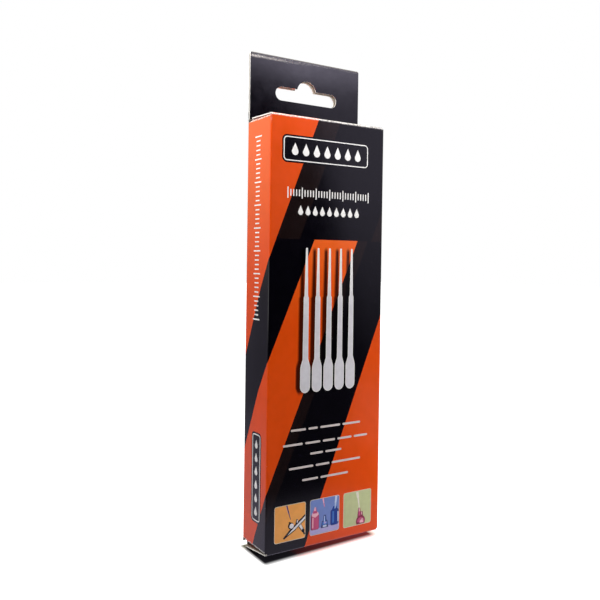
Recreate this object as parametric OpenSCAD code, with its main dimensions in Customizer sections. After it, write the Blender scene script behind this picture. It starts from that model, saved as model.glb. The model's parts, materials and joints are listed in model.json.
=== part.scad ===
// Hanging carton of folded board, tucked shut at both ends, with five dropper pipettes inside.
// The printed front faces -Y, +Z is up, and the origin is the middle of the base.

/* [Carton] */
// Width of the front, outside
body_w = 58; // [57:0.5:80]
// Depth of the sides, outside
body_d = 20; // [19:0.5:40]
// Height of the body, from the base to the top
body_h = 180; // [170:1:240]
// Thickness of the board
board_t = 0.45; // [0.35:0.05:0.6]
// Outside radius of the folds along the body's upright edges
edge_r = 0.7; // [0.65:0.05:1]
// Width of the strip glued inside the right side
glue_w = 13; // [6:1:16]
// How far the right side's cut edge stops short of the back's outer face
seam_step = 0.2; // [0.1:0.1:0.6]
// How far the glued strip is pressed into the side
seam_bite = 0.05; // [0.02:0.01:0.1]

/* [Closures] */
// Outside radius of the folds that the end panels turn on
fold_r = 0.9; // [0.7:0.1:1.2]
// How far the front's part of such a fold is cut in from the upright folds
fold_inset = 0.15; // [0.05:0.05:0.5]
// Gap in each of those folds, between the front and the end panel
crease_gap = 0.04; // [0.02:0.02:0.1]
// How far the hinge line lies outside the fold
crease_out = 0.05; // [0.02:0.01:0.1]
// How far an end panel is cut in from each side of the body
panel_inset = 0.6; // [0.4:0.1:1]
// Length of the tongue that tucks in behind the end panel
tongue_len = 12; // [8:1:12]
// How far the tongue is cut in from each side of the body
tongue_inset = 1.4; // [1.2:0.1:3]
// Radius of the tongue's corners
tongue_r = 5; // [2:0.5:6]
// Clearance between the tongue and what it slides past
tuck_gap = 0.3; // [0.2:0.05:0.6]

/* [Dust flaps] */
// Length of a dust flap, from the body's side
dust_len = 22; // [16:1:22]
// Outside radius of a dust flap's fold
dust_r = 0.55; // [0.5:0.05:0.7]
// Gap between a dust flap and the end panel over it
dust_gap = 0.4; // [0.2:0.05:1]
// Gap between a dust flap and the front, and between it and the tongue
dust_side = 0.5; // [0.3:0.1:1.5]
// Radius of a dust flap's free corners
dust_corner_r = 4; // [1:0.5:6]

/* [Hang tab] */
// Height of the tab over the body
tab_h = 29; // [22:1:40]
// How far the tab is cut in from each side of the body
tab_inset = 0.5; // [0.2:0.1:3]
// Radius of the tab's top corners
tab_corner_r = 1; // [0.5:0.5:5]
// Air between the tab's two plies
ply_gap = 0.5; // [0.2:0.1:1.5]
// How far the front ply reaches down inside the body
ply_tail = 6; // [2:1:10]
// How far that part of the ply is cut in from each side of the tab
tail_inset = 2; // [1:0.5:5]
// Width of the hanging slot
slot_w = 32; // [28:1:38]
// Height of the slot's two arms
slot_arm_h = 6; // [5:0.5:7]
// Radius of the slot's crown
slot_crown_r = 5; // [4:0.5:6]
// Height of the slot's lower edge over the body
slot_rise = 10; // [6:1:14]
// How far the back ply's slot sits to the left of the front ply's
ply_slip_x = 0.8; // [0:0.1:1]
// How far the back ply's slot sits below the front ply's
ply_slip_z = 0.6; // [0:0.1:1]

/* [Pipettes] */
// Length of a pipette
pip_len = 150; // [120:1:156]
// Outside diameter of the bulb
bulb_d = 12.5; // [10:0.5:12.5]
// Length of the bulb with its shoulder
bulb_len = 35; // [30:1:45]
// Outside diameter of the stem
stem_d = 6; // [4:0.5:7]
// Length of the fine tip
tip_len = 49; // [40:1:60]
// Outside diameter of the tip where it leaves the stem
tip_root_d = 4; // [3:0.5:4]
// Outside diameter at the tip's mouth
tip_d = 2.6; // [2:0.2:3]
// Thickness of the pipette's wall
pip_t = 0.45; // [0.3:0.05:0.6]
// Clearance between the row of pipettes and each side of the body
pip_side_gap = 0.7; // [0.4:0.1:2]
// Clearance between a pipette and the front
pip_front_gap = 0.4; // [0.2:0.1:1]
// Clearance between a pipette and what it stands on
pip_foot_gap = 0.2; // [0.1:0.1:0.3]
// How far a graduation ring stands out of the stem
ring_out = 0.15; // [0.1:0.05:0.3]
// Width of a graduation ring
ring_w = 0.5; // [0.3:0.1:1]
// Distance between graduation rings
ring_pitch = 14; // [8:1:14]

/* [Hidden] */
$fn = 64;
pip_count = 5;

front_y = -body_d / 2;
back_y = body_d / 2;
inner_w = body_w - 2 * board_t;
tab_w = body_w - 2 * tab_inset;
tab_top = body_h + tab_h;
// The tab's top fold turns the board through a half circle.
tab_fold_r = board_t + ply_gap / 2;
ply_front_y = back_y - 2 * tab_fold_r;
ply_mid_y = back_y - tab_fold_r;
// A dust flap lies under the end panel, and the sides stop where its fold starts.
dust_top = body_h - board_t - dust_gap;
side_top = dust_top - dust_r;
// The hinge line runs just outside the middle of the fold.
fold_y = front_y + fold_r;
fold_z = body_h - fold_r;
hinge_y = fold_y - (fold_r + crease_out) * cos(45);
hinge_z = fold_z + (fold_r + crease_out) * sin(45);
// The tongue follows a circle round the hinge line, so that it slides along itself.
tongue_out_r = ply_front_y - tuck_gap - hinge_y;
tuck_z = fold_z;
tuck_y = hinge_y + sqrt(pow(tongue_out_r - fold_r, 2) - pow(hinge_z - tuck_z, 2));
tuck_turn = atan2(hinge_z - tuck_z, tuck_y - hinge_y);
tongue_turn = tongue_len / tongue_out_r * 180 / PI;
tongue_w = body_w - 2 * tongue_inset;
panel_w = body_w - 2 * panel_inset;
// A dust flap's back edge stays inside the tongue's circle, where the flap's lower face is furthest from the hinge.
dust_front_y = front_y + board_t + dust_side;
dust_depth = hinge_z - dust_top + board_t;
dust_back_y = hinge_y + sqrt(pow(tongue_out_r - board_t, 2) - pow(dust_depth, 2)) - dust_side;
glue_bevel = glue_w / 2;
glue_end = 3;
pip_y = front_y + board_t + pip_front_gap + bulb_d / 2;
// The row of pipettes fills the body's width.
pip_pitch = (inner_w - 2 * pip_side_gap - bulb_d) / (pip_count - 1);
stem_end = pip_len - tip_len;
ring_count = floor((stem_end - stem_d / 2 - ring_w - bulb_len) / ring_pitch);
far = 2 * (body_w + body_h);

// A flat shape in Y and Z, made into a solid of the given width that is centred in X.
module along_x(width) {
    rotate([90, 0, 90]) translate([0, 0, -width / 2]) linear_extrude(width) children();
}

// A flat shape in X and Z, made into a solid between two places in Y.
module along_y(from, to) {
    translate([0, to, 0]) rotate([90, 0, 0]) linear_extrude(to - from) children();
}

// A flat box between two corners.
module span(low, high) {
    translate(low) square(high - low);
}

// Board bent round a centre at the origin, between two angles less than 120 degrees apart.
module bend(r, from, to) {
    middle = (from + to) / 2;
    intersection() {
        difference() {
            circle(r);
            circle(r - board_t);
        }
        polygon([
            [0, 0],
            3 * r * [cos(from), sin(from)],
            3 * r * [cos(middle), sin(middle)],
            3 * r * [cos(to), sin(to)]
        ]);
    }
}

module rounded(width, depth, r) {
    square([width - 2 * r, depth], center = true);
    square([width, depth - 2 * r], center = true);
    for (x = [-1, 1], y = [-1, 1])
        translate([x * (width / 2 - r), y * (depth / 2 - r)]) circle(r);
}

// The body seen from above: one ring of board, closed by a strip glued inside the right side.
module body_section() {
    seam_x = inner_w / 2 - edge_r + seam_bite;
    difference() {
        rounded(body_w, body_d, edge_r);
        rounded(inner_w, body_d - 2 * board_t, edge_r - board_t);
        span([seam_x, back_y - edge_r], [body_w, body_d]);
    }
    span([inner_w / 2, back_y - edge_r], [body_w / 2, back_y - seam_step]);
    translate([seam_x, back_y - edge_r]) bend(edge_r, 0, 90);
}

module glue_strip() {
    low_z = glue_end;
    high_z = body_h - glue_end;
    translate([(inner_w - board_t) / 2 + seam_bite, 0, 0]) along_x(board_t) polygon([
        [back_y - edge_r, low_z],
        [back_y - glue_w, low_z + glue_bevel],
        [back_y - glue_w, high_z - glue_bevel],
        [back_y - edge_r, high_z]
    ]);
}

// The ring's height differs: the sides stop at the dust flaps, the front at its fold, and the back goes on.
module body_walls() {
    translate([0, 0, body_h - side_top]) linear_extrude(2 * side_top - body_h) body_section();
    translate([0, 0, body_h - fold_z]) linear_extrude(2 * fold_z - body_h) intersection() {
        body_section();
        span([-body_w, -body_d], [body_w, front_y + edge_r]);
    }
    linear_extrude(body_h) intersection() {
        body_section();
        span([-body_w, back_y - edge_r], [body_w, body_d]);
    }
}

// The front's own half of the fold that an end panel turns on. It starts in the front itself.
module front_fold() {
    along_x(body_w - 2 * edge_r - 2 * fold_inset) {
        span([front_y, fold_z - board_t], [front_y + board_t, fold_z]);
        translate([fold_y, fold_z]) bend(fold_r, 135, 180);
    }
}

module dust_flaps() {
    fold_x = body_w / 2 - dust_r;
    intersection() {
        along_y(front_y, back_y) for (side = [0, 1]) mirror([side, 0]) {
            translate([fold_x, dust_top - dust_r]) bend(dust_r, 0, 90);
            span([body_w / 2 - dust_len, dust_top - board_t], [fold_x, dust_top]);
        }
        translate([0, (dust_front_y + dust_back_y) / 2, 0]) linear_extrude(body_h) for (x = [-1, 1])
            translate([x * body_w / 2, 0]) rounded(2 * dust_len, dust_back_y - dust_front_y, dust_corner_r);
    }
}

module slot_shape() {
    end_x = slot_w / 2 - slot_arm_h / 2;
    translate([0, slot_arm_h / 2]) square([2 * end_x, slot_arm_h], center = true);
    for (x = [-end_x, end_x]) translate([x, slot_arm_h / 2]) circle(slot_arm_h / 2);
    translate([0, slot_crown_r]) circle(slot_crown_r);
}

// The back goes on upwards as the tab's back ply, folds over at the top and comes down as its front ply.
module hang_tab() {
    tail_z = body_h - ply_tail;
    difference() {
        intersection() {
            along_x(tab_w) {
                span([back_y - board_t, body_h - edge_r], [back_y, tab_top - tab_fold_r]);
                span([ply_front_y, tail_z], [ply_front_y + board_t, tab_top - tab_fold_r]);
                translate([ply_mid_y, tab_top - tab_fold_r]) {
                    bend(tab_fold_r, 0, 90);
                    bend(tab_fold_r, 90, 180);
                }
            }
            along_y(front_y, 2 * back_y) {
                translate([0, tab_top / 2]) rounded(tab_w, tab_top, tab_corner_r);
            }
        }
        for (side = [0, 1]) mirror([side, 0, 0]) along_y(front_y, ply_mid_y)
            span([tab_w / 2 - tail_inset, tail_z - 1], [tab_w, body_h]);
        along_y(front_y, ply_mid_y) translate([0, body_h + slot_rise]) slot_shape();
        along_y(ply_mid_y, 2 * back_y)
            translate([-ply_slip_x, body_h + slot_rise - ply_slip_z]) slot_shape();
    }
}

// Turns what is drawn at the top end over, for the bottom end.
module at_bottom() {
    translate([0, 0, body_h]) mirror([0, 0, 1]) children();
}

// The folded blank, less the two end panels.
module carton() {
    color("OrangeRed") {
        body_walls();
        glue_strip();
        front_fold();
        dust_flaps();
        at_bottom() {
            front_fold();
            dust_flaps();
        }
        hang_tab();
    }
}

// An end panel and its tongue, as one strip of board seen from the side.
module end_panel_profile() {
    gap_turn = crease_gap / fold_r * 180 / PI;
    translate([fold_y, fold_z]) bend(fold_r, 90, 135 - gap_turn);
    span([fold_y, body_h - board_t], [tuck_y, body_h]);
    translate([tuck_y, tuck_z]) bend(fold_r, -tuck_turn, 90);
    translate([hinge_y, hinge_z]) bend(tongue_out_r, -tuck_turn - tongue_turn, -tuck_turn);
}

// What the end panel and its tongue are cut to, seen from the front.
module end_panel_outline() {
    tongue_end = body_h - 2 * tongue_len;
    span([-panel_w / 2, tuck_z], [panel_w / 2, body_h]);
    intersection() {
        translate([0, body_h - tongue_reach() + far / 2]) rounded(tongue_w, far, tongue_r);
        span([-body_w, tongue_end], [body_w, body_h]);
    }
}

// How far below the top the tongue's free edge is.
function tongue_reach() = body_h - hinge_z + (tongue_out_r - board_t) * sin(tuck_turn + tongue_turn);

module end_panel() {
    intersection() {
        along_x(panel_w) end_panel_profile();
        along_y(2 * front_y, 2 * back_y) end_panel_outline();
    }
}

module top_flap() {
    color("DarkOrange") end_panel();
}

module bottom_flap() {
    color("DimGray") at_bottom() end_panel();
}

// Half of a pipette's outline, with its bulb down. A positive inset gives the space inside the wall.
module pipette_half(inset) {
    bulb_r = bulb_d / 2 - inset;
    round_r = bulb_d / 3 - inset;
    stem_r = stem_d / 2 - inset;
    mouth_z = pip_len + sign(inset);
    translate([0, inset]) square([bulb_r - round_r, 2 * round_r]);
    translate([bulb_r - round_r, inset + round_r]) circle(round_r);
    polygon([
        [0, inset + round_r],
        [bulb_r, inset + round_r],
        [bulb_r, bulb_len - bulb_d / 2],
        [stem_r, bulb_len],
        [stem_r, stem_end - stem_d / 2],
        [tip_root_d / 2 - inset, stem_end],
        [tip_d / 2 - inset, mouth_z],
        [0, mouth_z]
    ]);
}

module pipette_body() {
    rotate_extrude() difference() {
        intersection() {
            pipette_half(0);
            square([bulb_d, pip_len]);
        }
        intersection() {
            pipette_half(pip_t);
            translate([0, pip_t]) square([bulb_d, far]);
        }
    }
    rotate_extrude() for (i = [1 : ring_count])
        translate([stem_d / 2 - pip_t / 2, bulb_len + i * ring_pitch - ring_w / 2])
            square([ring_out + pip_t / 2, ring_w]);
}

// Pipettes stand in one row, turned bulb down and bulb up by turns, so that each bulb lies beside two stems.
// The middle one stands on the end panel, between the dust flaps, and the others stand on the flaps.
module pipette(i) {
    across = abs(i - (pip_count + 1) / 2) * pip_pitch;
    seat = across < body_w / 2 - dust_len ? board_t : body_h - dust_top + board_t;
    color("WhiteSmoke") translate([(i - (pip_count + 1) / 2) * pip_pitch, pip_y, seat + pip_foot_gap])
        if (i % 2 == 1) pipette_body();
        else translate([0, 0, pip_len]) mirror([0, 0, 1]) pipette_body();
}

carton();
top_flap();
bottom_flap();
pipette(1);  // pipette_1
pipette(2);  // pipette_2
pipette(3);  // pipette_3
pipette(4);  // pipette_4
pipette(5);  // pipette_5
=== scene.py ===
"""Dresses a hanging carton of dropper pipettes: folded and printed board, small print, and the pipettes inside.

The board is drawn as a flat blank, in millimetres: s runs round the carton from the middle of the front, to the right
as it is read, and v runs upwards. The blank is cut along its outline, its folds and the edges of its colour fields, and
is then folded."""

import json
from math import atan2, ceil, cos, pi, radians, sin, sqrt, tau

import bpy
import numpy as np
from mathutils import Matrix, Vector
from mathutils.geometry import delaunay_2d_cdt


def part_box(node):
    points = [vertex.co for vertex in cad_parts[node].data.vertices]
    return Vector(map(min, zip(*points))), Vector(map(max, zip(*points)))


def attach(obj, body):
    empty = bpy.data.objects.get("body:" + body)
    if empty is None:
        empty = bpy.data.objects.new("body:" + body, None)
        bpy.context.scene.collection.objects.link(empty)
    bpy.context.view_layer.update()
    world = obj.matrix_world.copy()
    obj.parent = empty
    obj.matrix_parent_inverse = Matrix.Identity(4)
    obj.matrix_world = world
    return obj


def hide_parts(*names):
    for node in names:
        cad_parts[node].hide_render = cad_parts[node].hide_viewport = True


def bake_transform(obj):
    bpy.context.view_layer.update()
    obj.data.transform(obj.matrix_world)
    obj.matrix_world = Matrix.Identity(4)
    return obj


bl_info = {
    "name": "Hanging carton of dropper pipettes",
    "version": (1, 0, 0),
    "blender": (4, 5, 0),
    "location": "View3D > Sidebar > Carton",
    "description": "Folds and prints a hanging carton of dropper pipettes on its packed frame",
    "category": "Object",
}

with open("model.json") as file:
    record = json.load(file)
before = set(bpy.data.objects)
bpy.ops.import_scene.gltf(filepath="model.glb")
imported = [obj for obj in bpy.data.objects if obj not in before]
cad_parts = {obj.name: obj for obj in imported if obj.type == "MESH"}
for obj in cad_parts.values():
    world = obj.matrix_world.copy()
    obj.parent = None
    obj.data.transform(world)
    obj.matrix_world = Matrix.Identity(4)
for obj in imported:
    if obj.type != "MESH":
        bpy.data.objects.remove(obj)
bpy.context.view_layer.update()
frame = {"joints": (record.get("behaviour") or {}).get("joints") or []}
MM = 0.001

CARTON_LOW, CARTON_HIGH = (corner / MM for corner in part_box("carton"))
FLAP_LOW, FLAP_HIGH = (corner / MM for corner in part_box("top_flap"))
BODY_W = round(CARTON_HIGH.x - CARTON_LOW.x, 3)
BODY_D = round(CARTON_HIGH.y - CARTON_LOW.y, 3)
BODY_H = round(FLAP_HIGH.z, 3)
TAB_TOP = round(CARTON_HIGH.z, 3)
PANEL_W = round(FLAP_HIGH.x - FLAP_LOW.x, 3)


# ---------------------------------------------------------------- sizes and colours


def length(name, description, default):
    return bpy.props.FloatProperty(name=name, description=description, default=default * MM, unit="LENGTH", precision=5)


def angle(name, description, degrees):
    return bpy.props.FloatProperty(
        name=name, description=description, default=radians(degrees), subtype="ANGLE", unit="ROTATION"
    )


def colour(name, description, default):
    return bpy.props.FloatVectorProperty(
        name=name, description=description, default=default, size=3, min=0, max=1, subtype="COLOR_GAMMA"
    )


class CartonSizes(bpy.types.PropertyGroup):
    """Sizes of the folded board that the frame's boxes don't give."""

    board: length("Board", "Thickness of the board", 0.45)
    edge_r: length("Upright folds", "Outside radius of the body's upright folds", 0.7)
    fold_r: length("Panel folds", "Outside radius of the folds that the end panels turn on", 0.9)
    tongue: length("Tongue", "Length of the tongue that tucks in", 12.0)
    tongue_corner: length("Tongue corners", "Radius of the tongue's corners", 5.0)
    tongue_inset: length("Tongue inset", "How far the tongue is cut in from the body's sides", 1.4)
    tuck_gap: length("Tuck gap", "Clearance between a tongue and the hang tab's front ply", 0.3)
    dust_r: length("Dust flap folds", "Outside radius of a dust flap's fold", 0.55)
    dust_len: length("Dust flaps", "Length of a dust flap from the body's side", 22.0)
    dust_corner: length("Dust flap corners", "Radius of a dust flap's corners", 4.0)
    dust_gap: length("Dust flap gap", "Gap between a dust flap and the end panel over it", 0.4)
    dust_side: length("Dust flap clearance", "Gap between a dust flap and the front or the tongue", 0.5)
    glue_w: length("Glue strip", "Width of the strip glued inside the right side", 13.0)
    strip_end: length("Strip ends", "How far the glue strip stops short of the body's ends", 3.0)
    seam_step: length("Seam step", "How far the right side's cut edge stops short of the back", 0.2)
    tab_inset: length("Tab inset", "How far the hang tab is cut in from the body's sides", 0.5)
    tab_corner: length("Tab corners", "Radius of the hang tab's corners", 1.0)
    ply_gap: length("Ply gap", "Air between the hang tab's two plies", 0.5)
    ply_tail: length("Ply tail", "How far the tab's front ply reaches into the body", 6.0)
    tail_inset: length("Tail inset", "How far the front ply's tail is cut in from the tab's sides", 2.0)
    slot_w: length("Slot width", "Width of the hanging slot", 32.0)
    slot_arm: length("Slot arms", "Height of the slot's arms", 6.0)
    slot_crown_r: length("Slot crown", "Radius of the slot's crown", 5.0)
    slot_rise: length("Slot rise", "Height of the slot's lower edge over the body", 10.0)
    ply_slip_x: length("Ply slip across", "How far the back ply's slot sits to the left", 0.8)
    ply_slip_z: length("Ply slip down", "How far the back ply's slot sits lower", 0.6)
    bow: length("Bow", "How far the middle of a panel stands out, as filled cartons do", 0.2)
    lift: angle("Lift", "How far the top panel springs open", 1.6)
    droop: angle("Droop", "How far the bottom panel hangs open", 7.0)
    settle: length("Settling", "How much lower the body's feet stand", 0.6)
    spread: length("Spread", "How much wider the bottom panel is than the frame's, on each side", 0.2)
    reach: length("Reach", "How much farther back the bottom panel goes than the top one", 0.5)


class PrintColours(bpy.types.PropertyGroup):
    """Colours of the inks and of the bare board."""

    orange: colour("Orange", "Ink of the slanting bands", (0.925, 0.31, 0.035))
    window: colour("Window", "Ink at the top of the middle band, behind the printed pipettes", (0.97, 0.395, 0.1))
    black: colour("Black", "Ink of the ground", (0.02, 0.015, 0.04))
    warm_black: colour("Warm black", "Ink of the faint stripes in the ground", (0.1, 0.06, 0.06))
    pale_ink: colour("Pale ink", "Ink of the light marks", (0.99, 0.98, 0.97))
    caption_ink: colour("Caption ink", "Ink of the caption bars", (0.86, 0.82, 0.81))
    plastic_ink: colour("Plastic ink", "Ink of the printed pipettes", (0.875, 0.865, 0.89))
    ochre: colour("Ochre", "Ground of the first picture", (1.0, 0.69, 0.35))
    blue: colour("Blue", "Ground of the second picture", (0.47, 0.56, 0.82))
    green: colour("Green", "Ground of the third picture", (0.78, 0.81, 0.61))
    core: colour("Core", "Cut edge of the board", (0.98, 0.965, 0.94))
    inside: colour("Inside", "Unprinted side of the board", (0.64, 0.6, 0.54))


class PipetteSizes(bpy.types.PropertyGroup):
    """Sizes of one blow-moulded pipette."""

    bulb_d: length("Bulb", "Diameter of the bulb", 12.5)
    bulb_len: length("Bulb length", "Length of the bulb with its shoulder", 35.0)
    stem_d: length("Stem", "Diameter of the stem", 6.0)
    tip_len: length("Tip", "Length of the fine tip", 49.0)
    tip_root_d: length("Tip root", "Diameter of the tip where it leaves the stem", 4.0)
    tip_d: length("Tip mouth", "Diameter at the tip's mouth", 2.6)
    wall: length("Wall", "Thickness of the wall", 0.45)
    ring_out: length("Ring height", "How far a graduation ring stands out", 0.15)
    ring_w: length("Ring width", "Width of a graduation ring", 0.5)
    ring_pitch: length("Ring pitch", "Distance between graduation rings", 14.0)
    plastic: colour("Plastic", "Colour of the milky plastic", (0.93, 0.94, 0.95))


def sizes():
    return bpy.context.scene.carton_sizes


def mm(name):
    """One of the carton's sizes in millimetres."""
    return round(getattr(sizes(), name) / MM, 5)


def linear(c):
    """A colour as it is seen, for a shader."""
    return [x / 12.92 if x <= 0.04045 else ((x + 0.055) / 1.055) ** 2.4 for x in c]


def ink(name):
    """One of the print's colours, for a shader."""
    return linear(getattr(bpy.context.scene.print_colours, name))


# ---------------------------------------------------------------- flat blank and its folds

WALLS = ("strip", "seam", "back", "back_left", "left", "front_left", "front", "front_right", "right")
BOW_FADE = 35  # from this far inside a wall's ends, it bows fully
BOW_WIDTH = 30  # a narrower wall than this bows less
FOOT_TOP, FOOT_RISE = 5, 3.5  # the feet settle from the first height on, fully by the second below it


def ease(q):
    """An even rise from 0 to 1."""
    q = min(1, max(0, q))
    return q * q * (3 - 2 * q)


class Path:
    """A line of straight and bent legs in a plane. Each leg has a length and a turn to the left, in degrees."""

    def __init__(self, start, heading, legs):
        self.legs, t, (x, y), a = [], 0.0, start, radians(heading)
        for reach, turn in legs:
            self.legs.append((t, reach, x, y, a, radians(turn)))
            x, y, a = self.step(self.legs[-1], reach)
            t += reach
        self.length = t

    @staticmethod
    def step(leg, along):
        """The place and the heading at a distance along a leg, or on past its end."""
        _, reach, x, y, a, turn = leg
        if not turn:
            return x + along * cos(a), y + along * sin(a), a
        b = a + turn * along / reach
        r = reach / turn
        return x + r * (sin(b) - sin(a)), y - r * (cos(b) - cos(a)), b

    def at(self, t):
        """The place and the heading at a distance along the line."""
        leg = next((g for g in reversed(self.legs) if t >= g[0]), self.legs[0])
        return self.step(leg, t - leg[0])


class Carton:
    """The folded carton: how a point of the flat blank is placed in space."""

    def __init__(self):
        r, t = mm("edge_r"), mm("board")
        corner = r * pi / 2
        self.half_w, self.half_d = BODY_W / 2, BODY_D / 2
        glued_x = self.half_w - t
        strip = mm("glue_w") - r
        back = self.half_w - r + glued_x - r
        side = BODY_D - 2 * r
        front = BODY_W - 2 * r
        right = side + r - mm("seam_step")
        lengths = [strip, corner, back, corner, side, corner, front, corner, right]
        turns = [(n, 90 * (k % 2)) for k, n in enumerate(lengths)]
        self.girth = Path((glued_x, self.half_d - mm("glue_w")), 90, turns)
        self.origin = sum(lengths[:6]) + front / 2
        ends = np.cumsum([0, *lengths]) - self.origin
        self.span = {name: (ends[k], ends[k + 1]) for k, name in enumerate(WALLS)}
        self.dust_top = BODY_H - t - mm("dust_gap")
        self.side_top = self.dust_top - mm("dust_r")
        self.fold_z = BODY_H - mm("fold_r")
        self.tab_r = t + mm("ply_gap") / 2
        dust = mm("dust_r")
        self.dust_path = Path((0, self.side_top), 90, [(dust * pi / 2, -90), (mm("dust_len") - dust, 0)])
        rise = TAB_TOP - self.tab_r - BODY_H
        self.tab_path = Path((0, BODY_H), 90, [(rise, 0), (self.tab_r * pi, -180), (rise + mm("ply_tail"), 0)])
        self.panel_path = self.end_panel(sizes().lift, 0)
        self.drooping_path = self.end_panel(sizes().droop, mm("reach"))

    def end_panel(self, droop, reach):
        """An end panel and its tongue seen from the side: inwards from the front, and upwards."""
        r = mm("fold_r")
        hinge_in, hinge_h = self.hinge()
        tongue_r = BODY_D - 2 * self.tab_r - mm("tuck_gap") - hinge_in
        tuck_in = hinge_in + sqrt((tongue_r - r) ** 2 - (hinge_h - self.fold_z) ** 2)
        turn = atan2(hinge_h - self.fold_z, tuck_in - hinge_in)
        legs = [
            (r * pi / 2, -90 + droop * 180 / pi),
            (tuck_in - r + reach, 0),
            (r * (pi / 2 + turn), -90 - turn * 180 / pi),
            (mm("tongue"), -mm("tongue") / tongue_r * 180 / pi),
        ]
        return Path((0, self.fold_z), 90, legs)

    def hinge(self):
        """How far in from the front, and how high, the top hinge line is."""
        joint = next(j for j in frame["joints"] if j["name"] == "top_flap_hinge")
        pos = joint["pos_m"]
        return pos[1] / MM + self.half_d, pos[2] / MM

    def wall(self, s, v, leg=None):
        """A point of the upright walls. A leg's name carries that wall on past its folds, without its bow."""
        if leg:
            x, y, a = self.girth.step(self.girth.legs[WALLS.index(leg)], s - self.span[leg][0])
            return Vector((x, y, v)), Vector((sin(a), -cos(a), 0))
        x, y, a = self.girth.at(s + self.origin)
        out = Vector((sin(a), -cos(a), 0))
        bow = 0.0
        for low, high in (self.span[name] for name in ("back", "left", "front", "right")):
            if low < s < high:
                across = (1 - ((2 * s - low - high) / (high - low)) ** 2) ** 2
                bow = mm("bow") * min(1, (high - low) / BOW_WIDTH) * across * ease(min(v, BODY_H - v) / BOW_FADE)
        return Vector((x, y, v)) + out * bow, out

    def flap(self, leg, path, s, v):
        """A point of a flap that goes on from a wall's top. Below the middle it is turned over, for the bottom end."""
        below = v < BODY_H / 2
        t = (BODY_H - v if below else v) - path.legs[0][3]
        inwards, h, _ = path.at(t)
        p, out = self.wall(s, 0, leg)
        p = p - out * inwards
        p.z = BODY_H - h if below else h
        return p

    def settled(self, p):
        """The walls' feet stand a little lower than the frame's, as the folds bulge when the bottom panel hangs."""
        p.z -= mm("settle") * ease((FOOT_TOP - p.z) / FOOT_RISE)
        return p

    def body(self, s, v):
        """Any point of the carton's own board."""
        return self.settled(self.folded(s, v))

    def folded(self, s, v):
        """The same point before the feet settle."""
        if abs(v - BODY_H / 2) > self.side_top - BODY_H / 2:
            for leg in ("left", "right"):
                if self.span[leg][0] <= s <= self.span[leg][1]:
                    return self.flap(leg, self.dust_path, s, v)
        return self.flap("back", self.tab_path, s, v) if v > BODY_H else self.wall(s, v)[0]

    def top_panel(self, s, v):
        return self.flap("front", self.panel_path, s, v)

    def bottom_panel(self, s, v):
        return self.settled(self.flap("front", self.drooping_path, s, v))


def outward(place, s, v):
    """The board's outward direction at a point of the blank."""
    e = 0.01
    across = place(s + e, v) - place(s - e, v)
    return across.cross(place(s, v + e) - place(s, v - e)).normalized()


def fine(loop, reach):
    """A loop with extra points, so that no edge is longer than the given reach."""
    made = []
    for a, b in zip(loop, [*loop[1:], loop[0]]):
        n = max(1, ceil(sqrt((b[0] - a[0]) ** 2 + (b[1] - a[1]) ** 2) / reach))
        made += [(a[0] + (b[0] - a[0]) * k / n, a[1] + (b[1] - a[1]) * k / n) for k in range(n)]
    return made


def cut_flat(outlines, holes=(), fields=(), lines=(), pitch=6.0):
    """Cuts a flat sheet into triangles along its outlines, holes, colour fields and fold lines.

    Returns the points, the triangles and, for each triangle, the number of the last field that it lies in, or -1.
    pitch is the size of the mesh between them, or 0 for the cuts alone."""
    points, edges, faces = [], [], []

    def add(loop, closed):
        first = len(points)
        points.extend(Vector(p) for p in loop)
        ids = list(range(first, len(points)))
        edges.extend(zip(ids, ids[1:] + ids[:1] if closed else ids[1:]))
        return ids

    for loop in (*outlines, *holes, *fields):
        loop = fine(loop, pitch / 2) if pitch else loop
        area = sum(a[0] * b[1] - b[0] * a[1] for a, b in zip(loop, loop[1:] + loop[:1]))
        faces.append(add(loop if area > 0 else loop[::-1], True))
    for line in lines:
        add(line, False)
    low = np.min([p for loop in outlines for p in loop], axis=0)
    high = np.max([p for loop in outlines for p in loop], axis=0)
    if pitch:
        for s in np.arange(low[0] + pitch / 2, high[0], pitch):
            for v in np.arange(low[1] + pitch / 2, high[1], pitch):
                points.append(Vector((s, v)))
    made, _, tris, _, _, origin = delaunay_2d_cdt(points, edges, faces, 0, 1e-5, True)
    a, b = len(outlines), len(outlines) + len(holes)
    kept, field = [], []
    for tri, sources in zip(tris, origin):
        if any(k < a for k in sources) and not any(a <= k < b for k in sources):
            kept.append(tri)
            field.append(max([k - b for k in sources if k >= b], default=-1))
    return made, kept, field


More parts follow.
